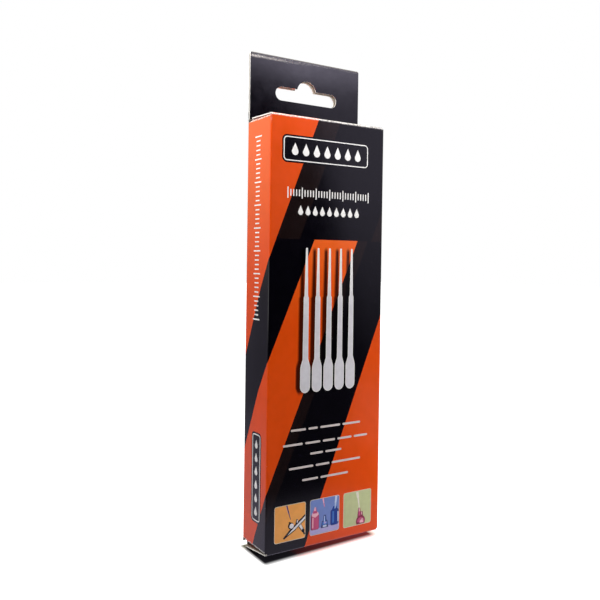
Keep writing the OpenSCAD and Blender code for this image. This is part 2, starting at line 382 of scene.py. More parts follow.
class Sheets:
    """Collects folded sheets that become one mesh."""

    def __init__(self):
        self.points, self.faces, self.slots, self.normals, self.wear = [], [], [], [], []

    def add(self, flat, place, thick, slots, edge, back, lift=0.0, wear=None):
        """Adds a cut sheet, placed by a function of s and v.

        slots gives a material slot for each field, with the sheet's own colour as the last. edge is the slot of the
        rim, or None where each rim takes its field's, and back that of the inside. lift raises the face."""
        points, tris, field = flat
        used = sorted({k for tri in tris for k in tri})
        first = len(self.points)
        front_id = {k: first + i for i, k in enumerate(used)}
        back_id = {k: first + len(used) + i for i, k in enumerate(used)}
        normal = {k: outward(place, *points[k]) for k in used}
        self.points += [place(*points[k]) + normal[k] * lift for k in used]
        self.points += [place(*points[k]) + normal[k] * (lift - thick) for k in used]
        self.wear += [wear(*points[k]) if wear else 0.0 for k in used] * 2
        rims = {}
        for tri, f in zip(tris, field):
            self.face([front_id[k] for k in tri], slots[f], [normal[k] for k in tri])
            self.face([back_id[k] for k in reversed(tri)], back, [-normal[k] for k in reversed(tri)])
            for a, b in zip(tri, (*tri[1:], tri[0])):
                if (b, a) in rims:
                    del rims[b, a]
                else:
                    rims[a, b] = slots[f] if edge is None else edge
        for (a, b), slot in rims.items():
            ids = [front_id[a], back_id[a], back_id[b], front_id[b]]
            p = [self.points[k] for k in ids]
            n = (p[1] - p[0]).cross(p[2] - p[1]) or (p[2] - p[0]).cross(p[3] - p[1])
            self.face(ids, slot, [n.normalized()] * 4)

    def patch(self, place, loop, slot, lift, depth=0.05, holes=(), pitch=4):
        """Adds a small printed shape. Its face is lifted over the board, and its back lies as deep as depth says."""
        self.add(cut_flat([loop], holes, pitch=pitch), place, lift + depth, [slot], None, slot, lift=lift)

    def face(self, ids, slot, normals):
        """Adds one face with its corners' normals."""
        self.faces.append(ids)
        self.slots.append(slot)
        self.normals += normals

    def make(self, name, materials):
        """The collected sheets as one object."""
        mesh = bpy.data.meshes.new(name)
        mesh.from_pydata([p * MM for p in self.points], [], self.faces)
        for made in materials:
            mesh.materials.append(made)
        mesh.polygons.foreach_set("material_index", self.slots)
        mesh.polygons.foreach_set("use_smooth", [True] * len(self.faces))
        mesh.attributes.new("fold_wear", "FLOAT", "POINT").data.foreach_set("value", self.wear)
        mesh.normals_split_custom_set(self.normals)
        return new_piece(name, mesh)


def new_piece(name, data):
    """An object in the scene, at the origin, with the given mesh, lamp or camera."""
    piece = bpy.data.objects.new(name, data)
    bpy.context.scene.collection.objects.link(piece)
    return piece


def arc(x, y, r, start, end, steps=8):
    """Points of an arc, with its angles in degrees."""
    return [(x + r * cos(radians(a)), y + r * sin(radians(a))) for a in np.linspace(start, end, steps + 1)]


def rounded(left, low, right, high, r, steps=6):
    """A rectangle with round corners."""
    corners = [(right - r, low + r, -90), (right - r, high - r, 0), (left + r, high - r, 90), (left + r, low + r, 180)]
    return [p for x, y, a in corners for p in arc(x, y, r, a, a + 90, steps)]


def drop(height):
    """A plain drop about the origin, with its point up."""
    r = height * 0.3
    return [*arc(0, r - height / 2, r, 150, 390, 14), (0, height / 2)]


def slanted(x0, z0, x1, z1, w0, w1):
    """A long tapered shape between two points, with half its width at each."""
    n = Vector((z0 - z1, x1 - x0)).normalized()
    return [(x + n.x * w, z + n.y * w) for x, z, w in ((x0, z0, -w0), (x1, z1, -w1), (x1, z1, w1), (x0, z0, w0))]


def disc(x, z, r, steps=16):
    """A round shape."""
    return arc(x, z, r, 0, 360, steps)[:-1]


def rungs(low, high, values):
    """Lines across the blank at several heights."""
    return [[(low, v), (high, v)] for v in values]


def uprights(values, low, high, pitch=6.0):
    """Lines up the blank, with points along them."""
    return [[(s, v) for v in np.linspace(low, high, ceil((high - low) / pitch) + 1)] for s in values]


# ---------------------------------------------------------------- colour fields of the print, past the blank's edges

BAND_A = [(8.23, 215), (-5.9, 179.3), (-29.0, 120.9), (-35.6, 108.1), (-48.2, 79.2), (-100, -40)]
BAND_B = [(-120, 40.8), (-62, 180), (-47.4, 215)]
BAND_TOP = 129.0
MIDDLE_LEFT = [(-83.3, -40), (-49, 37.1), (-36, 66.3), (-28.9, 78.9), (-7.3, BAND_TOP)]
MIDDLE_RIGHT = [(15.1, BAND_TOP), (11.3, 119.8), (1.7, 98.1), (-12.1, 63.9), (-29, 24.4), (-39.9, 0.8), (-58, -40)]
LOWER_EDGE = [(76, 213.8), (28.6, 96.2), (-10.3, -0.3), (-26.3, -40)]
STRIPE_W = 5.6
ORANGE, WARM, BLACK, EDGE, INSIDE, WINDOW = range(6)


def print_fields():
    """Colour fields of the print on the flat blank, as (slot, outline), the later ones over the earlier."""
    stripe = [(s + STRIPE_W, v) for s, v in MIDDLE_RIGHT]
    return [
        (WARM, [(19.1, 215), (-14.6, BAND_TOP), (-25.8, BAND_TOP), (-5.9, 179.3), (8.23, 215)]),
        (WARM, [*MIDDLE_RIGHT, *reversed(stripe)]),
        (WARM, [(22.6, BAND_TOP), (60, BAND_TOP), (60, 215)]),
        (ORANGE, [*BAND_A, *BAND_B]),
        (WINDOW, [*MIDDLE_LEFT, *MIDDLE_RIGHT]),
        (ORANGE, [*LOWER_EDGE, (76, -40)]),
        (ORANGE, [(-76, 180), (-120, 74.4), (-120, 112), (-91.7, 180)]),
    ]


def fold_wear(carton):
    """How much the ink is rubbed at a point of the blank, from its distance to the folds. Below the hang tab's fold the
    band is also a painted highlight.
    """
    upright = [sum(carton.span[n]) / 2 for n in ("seam", "back_left", "front_left", "front_right")]
    across = carton.fold_z + mm("fold_r") * pi / 4
    tab = BODY_H + carton.tab_path.legs[2][0]
    dust = carton.side_top + mm("dust_r") * pi / 4
    front = carton.span["front_right"][1]

    def worn(top, off, reach):
        """Wear beside a fold, and on the hang tab a painted highlight too: top on it, and less by 1 at each further
        reach.
        """
        return top - abs(off) / reach

    def at(s, v):
        up = BODY_H / 2 + abs(v - BODY_H / 2)
        wear = max(0.35 * worn(1, s - u, 1.1) for u in upright) if v <= BODY_H else 0.0
        if abs(s) <= front:
            wear = max(wear, (1.0 if v > BODY_H / 2 else 0.3) * worn(1.3, up - across, 1.1))
        elif s > carton.span["left"][0] and (s < carton.span["left"][1] or s > carton.span["right"][0]):
            wear = max(wear, worn(1.5, up - dust, 0.8))
        # Below the hang tab's fold: rubbed ink and a painted highlight band, set lower than the fold and wider and
        # brighter to the left
        elif v > BODY_H:
            left = (s - carton.span["back"][0]) / BODY_W
            wear = worn(0.66 + 0.34 * left, v - tab - 0.35 - 0.6 * left, 0.8 + 0.7 * left)
        return min(1.0, max(0.0, wear))

    return at


# ---------------------------------------------------------------- materials


class Value:
    """What a node gives, for writing sums and products."""

    def __init__(self, nodes, socket):
        self.nodes, self.socket = nodes, socket

    def __add__(self, other):
        return self.nodes.math("ADD", self, other)

    def __sub__(self, other):
        return self.nodes.math("SUBTRACT", self, other)

    def __rsub__(self, other):
        return self.nodes.math("SUBTRACT", other, self)

    def __mul__(self, other):
        return self.nodes.math("MULTIPLY", self, other)

    def __abs__(self):
        return self.nodes.math("ABSOLUTE", self)


class Nodes:
    """A short way to write a node tree."""

    def __init__(self, tree):
        self.tree = tree

    def node(self, kind, inputs=None, **settings):
        """Adds a node. Its inputs are plain values or what other nodes give."""
        node = self.tree.nodes.new(kind)
        for key, value in settings.items():
            setattr(node, key, value)
        for key, value in (inputs or {}).items():
            if isinstance(value, Value):
                self.tree.links.new(value.socket, node.inputs[key])
            else:
                node.inputs[key].default_value = value
        return node

    def new(self, kind, inputs=None, out=0, **settings):
        """Adds a node and returns one of its outputs."""
        return Value(self, self.node(kind, inputs, **settings).outputs[out])

    def math(self, operation, a, b=0.0, clamp=False):
        return self.new("ShaderNodeMath", {0: a, 1: b}, operation=operation, use_clamp=clamp)

    def mix(self, factor, a, b, blend="MIX"):
        return self.new("ShaderNodeMix", {0: factor, 6: a, 7: b}, 2, data_type="RGBA", blend_type=blend)

    def toned(self, colour, tone):
        """A colour times a value."""
        return self.mix(1.0, colour, self.new("ShaderNodeCombineXYZ", {k: tone for k in range(3)}), "MULTIPLY")

    def faded(self, where, colour, fade):
        """A colour, or where fade is given, one that goes over to another between two heights: (other, low, high)."""
        if not fade:
            return (*colour, 1)
        other, low, high = fade
        return self.mix(self.remap(self.xyz(where)[2], low * MM, high * MM), (*colour, 1), (*other, 1))

    def remap(self, value, low, high, to_low=0.0, to_high=1.0, smooth=False):
        """Takes one range of values to another, and keeps to it."""
        kind = "SMOOTHSTEP" if smooth else "LINEAR"
        inputs = {"Value": value, "From Min": low, "From Max": high, "To Min": to_low, "To Max": to_high}
        return self.new("ShaderNodeMapRange", inputs, interpolation_type=kind)

    def place(self):
        """The place on the object."""
        return self.new("ShaderNodeTexCoord", out="Object")

    def xyz(self, vector):
        """The three parts of a vector."""
        return [Value(self, socket) for socket in self.node("ShaderNodeSeparateXYZ", {0: vector}).outputs]

    def noise(self, where, scale, detail=2.0, rough=0.5, tall=1):
        """A noise, drawn out upwards where tall is less than 1."""
        if tall != 1:
            where = self.new("ShaderNodeMapping", {"Vector": where, "Scale": (1, 1, tall)})
        inputs = {"Vector": where, "Scale": scale, "Detail": detail, "Roughness": rough}
        return self.new("ShaderNodeTexNoise", inputs)

    def bump(self, strength, depth, height):
        """Normals of a height map that is so many millimetres deep."""
        return self.new("ShaderNodeBump", {"Strength": strength, "Distance": depth * MM, "Height": height})

    def surface(self, inputs, kind="ShaderNodeBsdfPrincipled"):
        """Ends a material with a shader."""
        self.node("ShaderNodeOutputMaterial", {"Surface": self.new(kind, inputs)})


def material(name):
    """An empty material and its nodes."""
    made = bpy.data.materials.new(name)
    made.use_nodes = True
    made.node_tree.nodes.clear()
    return made, Nodes(made.node_tree)


PRINTED = {"count": 5, "first": -11.05, "pitch": 5.79, "tip": 125.5, "length": 60.8}
PRINTED_HALF = [(0, 0.3), (0.3, 0.46), (20, 0.85), (20.9, 1.22), (46.6, 1.36), (49.6, 2.3), (50.6, 2.44), (58.2, 2.44)]
SHADE_SHIFT = 1.95  # how far to the left the printed shade lies
SHADE_END = 1.2  # its half width where the bulb ends
RAMP_WIDTH = 3.0  # the half width that the ramp's full colour stands for


def printed_shadow(nodes, where):
    """A soft shade beside each printed pipette, 0 to 1, from the place on the front."""
    x, y, z = nodes.xyz(where)
    x, z = x * (1 / MM), z * (1 / MM)
    pitch, end = PRINTED["pitch"], PRINTED["length"]
    left = PRINTED["first"] - SHADE_SHIFT - pitch / 2
    off = abs(nodes.math("FLOORED_MODULO", x - left, pitch) - pitch / 2)
    along = PRINTED["tip"] - 0.3 - z
    ramp = nodes.node("ShaderNodeValToRGB", {0: nodes.math("DIVIDE", along, end)})
    stops = ramp.color_ramp.elements
    profile = [*PRINTED_HALF, (end, SHADE_END)]
    for k, (d, half) in enumerate(profile):
        stop = stops[0] if k == 0 else stops[-1] if k == len(profile) - 1 else stops.new(d / end)
        stop.position, stop.color = d / end, (*[half / RAMP_WIDTH] * 3, 1)
    edge = off - Value(nodes, ramp.outputs[0]) * RAMP_WIDTH
    shade = nodes.remap(edge, -0.35, 0.95, 1.0, 0.0, smooth=True)
    for value, a, b in (
        (along, -1.2, 1.4),
        (end - along, -1.2, 1.4),
        (x, left, left + 0.3),
        (left + pitch * PRINTED["count"] - x, 0.0, 0.3),
        (y, -BODY_D / 2 * MM + 0.0004, -BODY_D / 2 * MM + 0.0001),
    ):
        shade = shade * nodes.remap(value, a, b, smooth=True)
    return shade


def coated_ink(name, colour, shaded=0.0, fade=None):
    """Ink under a satin varnish, on smooth board: faint mottle, fine fibre, and rubbed, cracked folds, with a painted
    highlight band below the hang tab's fold drawn the same way.

    shaded is the depth of the shade printed beside the pipettes."""
    made, nodes = material(name)
    where = nodes.place()
    fibre = nodes.noise(where, 2600, 3, 0.6, tall=0.55)
    mottle = nodes.noise(where, 210, 3, 0.55)
    cloud = nodes.noise(where, 26, 2)
    tone = nodes.remap(mottle, 0.3, 0.7, -0.03, 0.03) + nodes.remap(cloud, 0.3, 0.7, -0.025, 0.025)
    base = nodes.toned(nodes.faded(where, colour, fade), tone + 1.0)
    if shaded:
        base = nodes.mix(printed_shadow(nodes, where) * shaded, base, (*[c * 0.04 for c in colour], 1))
    # The folds' rubbed and cracked ink; below the hang tab's fold this is also a painted highlight band
    wear = nodes.new("ShaderNodeAttribute", out="Fac", attribute_name="fold_wear")
    cracked = nodes.math("GREATER_THAN", wear * 0.34 + nodes.noise(where, 1500, 4, 0.7), 0.83)
    patchy = nodes.remap(nodes.noise(where, 620, 3, 0.6), 0.36, 0.66, 0.1, 1.0)
    rubbed = nodes.remap(wear, 0.35, 1.0, 0.0, 0.8, smooth=True) * patchy
    loss = nodes.math("MULTIPLY", nodes.math("MAXIMUM", cracked, rubbed), 0.75, clamp=True)
    base = nodes.mix(loss, base, (*ink("core"), 1))
    rough = nodes.remap(mottle, 0.3, 0.7, 0.11, 0.16) + loss * 0.25
    nodes.surface({"Base Color": base, "Roughness": rough, "Normal": nodes.bump(0.22, 0.06, fibre * 0.25 + mottle)})
    return made


def bare_board(name, colour, grain):
    """Uncoated board: matt, with short fibres and darker specks."""
    made, nodes = material(name)
    where = nodes.place()
    fibre = nodes.noise(where, 3000, 4, 0.65, tall=0.35)
    speck = nodes.remap(nodes.noise(where, 1400, 2), 0.62, 0.72)
    base = nodes.toned((*colour, 1), nodes.remap(fibre, 0.3, 0.7, 1 - grain, 1 + grain))
    base = nodes.mix(speck * 0.25, base, (*[c * 0.5 for c in colour], 1))
    nodes.surface({"Base Color": base, "Roughness": 0.85, "Normal": nodes.bump(0.5, 0.05, fibre)})
    return made


def flat_ink(name, colour, fade=None):
    """Ink of a small printed shape, under the same varnish. It is made once for each name."""
    if name in bpy.data.materials:
        return bpy.data.materials[name]
    made, nodes = material(name)
    where = nodes.place()
    mottle = nodes.noise(where, 420, 3, 0.6)
    base = nodes.toned(nodes.faded(where, colour, fade), nodes.remap(mottle, 0.3, 0.7, 0.95, 1.05))
    nodes.surface({"Base Color": base, "Roughness": nodes.remap(mottle, 0.3, 0.7, 0.14, 0.2)})
    return made


def board_materials():
    """Slots 0 to 5 of every board piece: orange, warm black, black, cut edge, inside and the fading window ink."""
    names = ("Orange ink", "Warm black ink", "Black ink", "Cut edge", "Inside board", "Window ink")
    if names[0] in bpy.data.materials:
        return [bpy.data.materials[name] for name in names]
    return [
        coated_ink(names[0], ink("orange")),
        coated_ink(names[1], ink("warm_black"), shaded=0.9),
        coated_ink(names[2], ink("black"), shaded=0.8),
        bare_board(names[3], ink("core"), 0.05),
        bare_board(names[4], ink("inside"), 0.09),
        coated_ink(names[5], ink("orange"), shaded=0.97, fade=(ink("window"), 94, 124)),
    ]


# ---------------------------------------------------------------- the board pieces

NECK_GAP = 0.15  # an end panel's neck is this much narrower than the front, on each side
PANEL_SLANT, TONGUE_SLANT = 0.3, 0.4  # height of the slants where an end panel widens and its tongue narrows
TAB_FIELD = 80  # the hang tab's black field goes this far up from the body, past the ply's end
WEAR_AND_HIGHLIGHT_LINES = 6  # lines past the tab's fold, at steps of 0.4, for its rubbed wear and painted highlight band to follow


def bent(path, k, offset, steps):
    """Places along the blank through the k-th leg of a path."""
    start, reach = path.legs[k][:2]
    return [offset + start + reach * i / steps for i in range(steps + 1)]


def beside(bends, before=0.7, after=0.7):
    """A fold's lines with one more just before them and one just after, to keep the fold narrow."""
    return [bends[0] - before, *bends, bends[-1] + after]


def mirrored(loop):
    """A loop of the blank turned over, for the bottom end."""
    return [(s, BODY_H - v) for s, v in loop][::-1]


def dust_outline(carton, side):
    """A dust flap's cut edges on the blank, from its front corner round to its back corner."""
    hinge_in, hinge_h = carton.hinge()
    low_y = -carton.half_d + mm("board") + mm("dust_side")
    tongue_r = BODY_D - 2 * carton.tab_r - mm("tuck_gap") - hinge_in - mm("board")
    depth = hinge_h - carton.dust_top + mm("board")
    high_y = -carton.half_d + hinge_in + sqrt(tongue_r**2 - depth**2) - mm("dust_side")
    front, back = (side * (carton.span["right"][0] + y + carton.half_d - mm("edge_r")) for y in (low_y, high_y))
    top = carton.side_top + carton.dust_path.length
    r, out = mm("dust_corner"), 1 if back > front else -1
    loop = [(front, carton.side_top)]
    loop += [(front + out * (r - r * cos(a)), top - r + r * sin(a)) for a in np.linspace(0, pi / 2, 7)]
    loop += [(back - out * (r - r * cos(a)), top - r + r * sin(a)) for a in np.linspace(pi / 2, 0, 7)]
    return [*loop, (back, carton.side_top)]


def tab_outline(carton):
    """The hang tab's middle and its right edge, from the body over its top fold and down to the front ply's end."""
    path, corner = carton.tab_path, mm("tab_corner")
    middle = sum(carton.span["back"]) / 2 + mm("board") / 2
    half = carton.half_w - mm("tab_inset")
    tail = half - mm("tail_inset")
    rise, over_fold = path.legs[1][0], carton.tab_r * pi
    side = []
    for t in [0, *np.linspace(-1.5, over_fold + 1.5, 19) + rise]:
        over = max(0, path.at(t)[1] - (TAB_TOP - corner))
        side.append((half - corner + sqrt(max(0, corner**2 - over**2)), BODY_H + t))
    down = BODY_H + 2 * rise + over_fold
    return middle, [*side, (half, down), (tail, down), (tail, BODY_H + path.length)]


def slot_outline(middle, low, up):
    """The hanging slot. up is -1 on the ply that hangs upside down on the blank."""
    arm, crown = mm("slot_arm") / 2, mm("slot_crown_r")
    end, over = mm("slot_w") / 2 - arm, 2 * arm - crown
    meet = atan2(over, sqrt(crown**2 - over**2)) * 180 / pi
    loop = [*arc(end, arm, arm, -90, 90, 14), *arc(0, crown, crown, meet, 180 - meet, 28)]
    loop += arc(-end, arm, arm, 90, 270, 14)
    return [(middle + s, low + up * v) for s, v in loop]


def carton_blank(carton):
    """Outline, slots and fold lines of the carton's own board."""
    span, top, fold_z, tab = carton.span, carton.side_top, carton.fold_z, carton.tab_path
    low, front_low = BODY_H - top, BODY_H - fold_z
    right, left = dust_outline(carton, 1), dust_outline(carton, -1)
    under_right, under_left = ([(s, BODY_H - v) for s, v in flap] for flap in (right, left))
    middle, side = tab_outline(carton)
    (left_back, left_front), (right_front, right_back), seam = span["left"], span["right"], span["seam"][0]
    edge, fold = span["strip"]
    end, slant = mm("strip_end"), mm("glue_w") / 2
    outline = [
        *[(seam, 0), (left_back, 0), (left_back, low), *reversed(under_left), (left_front, low)],
        *[(left_front, front_low), (right_front, front_low), (right_front, low), *under_right, (right_back, low)],
        *[(right_back, top), *reversed(right), (right_front, top), (right_front, fold_z)],
        *[(left_front, fold_z), (left_front, top), *left, (left_back, top), (left_back, BODY_H)],
        *[(middle + s, v) for s, v in side],
        *[(middle - s, v) for s, v in reversed(side)],
        *[(seam, BODY_H), (fold, BODY_H - end), (edge, BODY_H - end - slant), (edge, end + slant), (fold, end)],
    ]
    slots = [
        slot_outline(middle + mm("ply_slip_x"), BODY_H + mm("slot_rise") - mm("ply_slip_z"), 1),
        slot_outline(middle, BODY_H + tab.legs[2][0] + tab.legs[1][0] - mm("slot_rise"), -1),
    ]
    lines = []
    for name in ("seam", "back_left", "front_left", "front_right"):
        lines += uprights(beside(np.linspace(*span[name], 9)), 0, BODY_H)
    bends = beside(bent(tab, 1, BODY_H, 12), 1.6, 0.4)
    # Lines for the tab's band of rubbed ink and painted highlight below its fold
    worn = [bends[-1] + k * 0.4 for k in range(1, WEAR_AND_HIGHLIGHT_LINES)]
    lines += rungs(middle - carton.half_w, middle + carton.half_w, [BODY_H, *bends, *worn])
    bends = beside(bent(carton.dust_path, 0, top, 6), 0.6)
    for a, b in (span["left"], span["right"]):
        lines += rungs(a, b, bends) + rungs(a, b, [BODY_H - v for v in bends])
    lines += rungs(*span["front"], [fold_z - 0.8, BODY_H - fold_z + 0.8])
    return outline, slots, lines


def panel_blank(carton, path, spread):
    """Outline and fold lines of an end panel and its tongue, as at the top end."""
    half = PANEL_W / 2 + spread
    neck = carton.span["front"][1] - NECK_GAP
    narrow = carton.half_w - mm("tongue_inset")
    start = carton.fold_z
    fold_end, tuck, tuck_end = (start + path.legs[k][0] for k in (1, 2, 3))
    end, r = start + path.length, mm("tongue_corner")
    side = [(neck, start), (neck, fold_end), (half, fold_end + PANEL_SLANT), (half, tuck)]
    side += [(narrow, tuck + TONGUE_SLANT), (narrow, tuck_end), *arc(narrow - r, end - r, r, 0, 90, 8)]
    bends = [*bent(path, 0, start, 10), fold_end + 0.8, tuck - 0.8, *bent(path, 2, start, 10)]
    bends += bent(path, 3, start, 6)[1:-1]
    return [*side, *[(-s, v) for s, v in reversed(side)]], rungs(-half, half, bends)


def folded_board(carton, name, place, fields, outline, holes, lines):
    """Cuts, prints and folds a piece of board. It is black where no field lies."""
    sheets = Sheets()
    flat = cut_flat([outline], holes, [loop for _, loop in fields], lines)
    slots = [*(slot for slot, _ in fields), BLACK]
    sheets.add(flat, place, mm("board"), slots, EDGE, INSIDE, wear=fold_wear(carton))
    return sheets.make(name, board_materials())


def make_panel(carton, name, place, turned):
    """An end panel. turned is for the bottom end."""
    path, spread = (carton.drooping_path, mm("spread")) if turned else (carton.panel_path, 0)
    outline, lines = panel_blank(carton, path, spread)
    heights = [carton.fold_z, carton.fold_z + path.legs[1][0]]
    if turned:
        outline, lines = mirrored(outline), [mirrored(line) for line in lines]
        heights = [BODY_H - v for v in heights]
    piece = folded_board(carton, name, place, print_fields(), outline, (), lines)
    start, end = (place(0, v) * MM for v in heights)
    flap = name.replace("panel", "flap")
    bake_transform(piece)
    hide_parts(flap)
    return piece


class CARTON_OT_board(bpy.types.Operator):
    """Folds the carton's own board: walls, glued strip, dust flaps and hang tab."""

    bl_idname = "carton.board"
    bl_label = "Fold the carton"

    def execute(self, context):
        carton = Carton()
        a, b = carton.span["back"]
        top = BODY_H + TAB_FIELD
        tab = [(a - 2, BODY_H), (b + 2, BODY_H), (b + 2, top), (a - 2, top)]
        fields = [*print_fields(), (BLACK, tab)]
        piece = folded_board(carton, "carton_board", carton.body, fields, *carton_blank(carton))
        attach(piece, "carton")
        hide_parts("carton")
        return {"FINISHED"}


class CARTON_OT_panels(bpy.types.Operator):
    """Folds the two end panels with their tongues. Each bends at its fold on the front's edge."""

    bl_idname = "carton.panels"
    bl_label = "Fold the end panels"

    def execute(self, context):
        carton = Carton()
        make_panel(carton, "top_panel", carton.top_panel, False)
        make_panel(carton, "bottom_panel", carton.bottom_panel, True)
        return {"FINISHED"}


# ---------------------------------------------------------------- small print

LOW_LIFT, HIGH_LIFT = 0.03, 0.045  # how far the small print's two layers are lifted over the board
PLATE_LINE_INSET, PLATE_LINE_W = 0.7, 0.42


def printed(piece):
    """Small print goes with the carton and its board."""
    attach(piece, "carton")


def wrapped(carton, mesh):
    """Lays a mesh that was drawn flat, with x along s, -y out of the board and z along v, on the folded carton."""
    for vertex in mesh.vertices:
        s, lift, v = vertex.co.x / MM, -vertex.co.y / MM, vertex.co.z / MM
        vertex.co = (carton.body(s, v) + outward(carton.body, s, v) * lift) * MM
    mesh.update()
    return mesh


def row_tree(name, sockets, shape):
    """A Geometry Nodes tree that lays a shape at even steps, in one ink. It is made once for each name.

    sockets are its named inputs besides the common ones. shape gives the geometry and its size at each step."""
    if name in bpy.data.node_groups:
        return bpy.data.node_groups[name]
    made = bpy.data.node_groups.new(name, "GeometryNodeTree")
    common = [("Start", "Vector", None), ("Step", "Vector", None), ("Count", "Int", 5), ("Ink", "Material", None)]
    for label, kind, value in common + sockets:
        socket = made.interface.new_socket(label, in_out="INPUT", socket_type="NodeSocket" + kind)
        if value is not None:
            socket.default_value = value
    made.interface.new_socket("Geometry", in_out="OUTPUT", socket_type="NodeSocketGeometry")
    nodes = Nodes(made)
    put = {socket.name: Value(nodes, socket) for socket in nodes.node("NodeGroupInput").outputs}
    inputs = {"Count": put["Count"], "Start Location": put["Start"], "Offset": put["Step"]}
    line = nodes.new("GeometryNodeMeshLine", inputs, mode="OFFSET")
    geometry, size = shape(nodes, put)
    placed = nodes.new("GeometryNodeInstanceOnPoints", {"Points": line, "Instance": geometry, "Scale": size})
    whole = nodes.new("GeometryNodeRealizeInstances", {0: placed})
    inked = nodes.new("GeometryNodeSetMaterial", {"Geometry": whole, "Material": put["Ink"]})
    nodes.node("NodeGroupOutput", {0: inked})
    return made


def stroke(nodes, put):
    """A stroke of a scale, shorter but for every so many. The longer of its sides shortens."""
    rest = nodes.new(
        "FunctionNodeIntegerMath", {0: nodes.new("GeometryNodeInputIndex"), 1: put["Every"]}, operation="MODULO"
    )
    share = nodes.remap(nodes.math("GREATER_THAN", rest, 0.5), 0.0, 1.0, 1.0, put["Short share"])
    across, _, up = nodes.xyz(put["Long stroke"])
    upright = nodes.math("GREATER_THAN", up, across)
    wide, tall = nodes.remap(upright, 0.0, 1.0, share, 1.0), nodes.remap(upright, 0.0, 1.0, 1.0, share)
    size = nodes.new("ShaderNodeCombineXYZ", {0: wide, 1: 1.0, 2: tall})
    return nodes.new("GeometryNodeMeshCube", {"Size": put["Long stroke"]}), size


def shape_object(nodes, put):
    """The shape of the object that the tree is given."""
    return nodes.new("GeometryNodeObjectInfo", {"Object": put["Shape"]}, "Geometry"), (1, 1, 1)


def lay(carton, name, made, start, step, values):
    """Runs a tree on an empty mesh and lays the row, as a plain mesh, on the carton."""
    values |= {"Start": [start[0] * MM, 0, start[1] * MM], "Step": [step[0] * MM, 0, step[1] * MM]}
    holder = new_piece(name + " holder", bpy.data.meshes.new(name + " holder"))
    modifier = holder.modifiers.new(made.name, "NODES")
    modifier.node_group = made
    for item in made.interface.items_tree:
        if item.in_out == "INPUT" and item.name in values:
            modifier[item.identifier] = values[item.name]
    graph = bpy.context.evaluated_depsgraph_get()
    mesh = bpy.data.meshes.new_from_object(holder.evaluated_get(graph), depsgraph=graph)
    bpy.data.objects.remove(holder)
    printed(new_piece(name, wrapped(carton, mesh)))


def row(carton, name, loop, lift, start, step, count, made):
    """A row of one flat shape, drawn about the origin."""

    def place(s, v):
        return Vector((s, 0, v))

    sheets = Sheets()
    sheets.patch(place, loop, 0, lift, pitch=0)
    shape = sheets.make("flat shape", [])
    rule = row_tree("Row of shapes", [("Shape", "Object", None)], shape_object)
    lay(carton, name, rule, start, step, {"Shape": shape, "Count": count, "Ink": made})
    bpy.data.objects.remove(shape)


def scale(carton, name, start, step, count, size, made):
    """A measuring scale: a row of strokes, every fifth one longer."""
    sockets = [("Long stroke", "Vector", None), ("Short share", "Float", 0.6), ("Every", "Int", 5)]
    rule = row_tree("Measuring scale", sockets, stroke)
    size = [size[0] * MM, 2 * LOW_LIFT * MM, size[1] * MM]
    lay(carton, name, rule, start, step, {"Long stroke": size, "Count": count, "Ink": made})


def ring(loop, width):
    """A closed line of the given width along a convex loop, as an outline and a hole."""
    inner = []
    n = len(loop)
    for k in range(n):
        a, b, c = (Vector(loop[(k + d) % n]) for d in (-1, 0, 1))
        t = (c - a).normalized()
        inner.append(tuple(b + Vector((-t.y, t.x)) * width))
    return loop, inner


def plate(carton, name, box, r):
    """A dark plate with a thin pale line inside its edge."""
    left, low, right, high = box
    inset = PLATE_LINE_INSET
    sheets = Sheets()
    sheets.patch(carton.body, rounded(*box, r), 0, LOW_LIFT)
    outer, inner = ring(rounded(left + inset, low + inset, right - inset, high - inset, r - 0.5), PLATE_LINE_W)
    sheets.patch(carton.body, outer, 1, HIGH_LIFT, 0.045, [inner])
    printed(sheets.make(name, [flat_ink("Plate ink", ink("black")), flat_ink("Pale ink", ink("pale_ink"))]))


BAR_HALF, BAR_CORNER = 0.45, 0.43
# Height of each line of caption bars, and where its bars start and end
CAPTIONS = [
    (49.5, (-17.6, -10.3, -9.0, -4.4, -3.1, 7.2, 8.5, 18.0)),
    (43.5, (-21.3, -11.8, -10.5, -3.0, -1.7, 4.6, 5.9, 13.4, 14.7, 22.0)),
    (38.8, (-8.0, -1.6, -0.3, 8.0)),
    (33.6, (-18.3, -6.4, -5.1, 1.8, 3.1, 18.3)),
    (28.1, (-11.8, -3.9, -2.6, 11.8)),
]


class CARTON_OT_marks(bpy.types.Operator):
    """Lays the plates, measuring scales, drops and caption bars on the front and the left side."""

    bl_idname = "carton.marks"
    bl_label = "Print the marks"

    def execute(self, context):
        carton = Carton()
        plate(carton, "front_plate", (-23.6, 160.4, 20.8, 171.8), 2.2)
        plate(carton, "side_plate", (-41.2, 10.8, -33.2, 48.4), 1.8)
        pale = bpy.data.materials["Pale ink"]
        row(carton, "front_plate_drops", drop(5.2), HIGH_LIFT, (-17.4, 166.1), (5.33, 0), 7, pale)
        row(carton, "side_plate_drops", drop(3.8), HIGH_LIFT, (-37.2, 15.6), (0, 5.6), 6, pale)
        scale(carton, "front_scale", (-20.6, 148.1), (1.3733, 0), 31, (0.5, 4.6), pale)
        row(carton, "front_drops", drop(4.0), HIGH_LIFT, (-14.4, 141.0), (3.6, 0), 9, pale)
        scale(carton, "side_scale", (-38.9, 95.4), (0, 1.9), 41, (5.6, 0.55), pale)
        sheets = Sheets()
        for z, ends in CAPTIONS:
            for a, b in zip(ends[::2], ends[1::2]):
                sheets.patch(carton.body, rounded(a, z - BAR_HALF, b, z + BAR_HALF, BAR_CORNER), 0, LOW_LIFT)
        printed(sheets.make("caption_bars", [flat_ink("Caption ink", ink("caption_ink"))]))
        return {"FINISHED"}


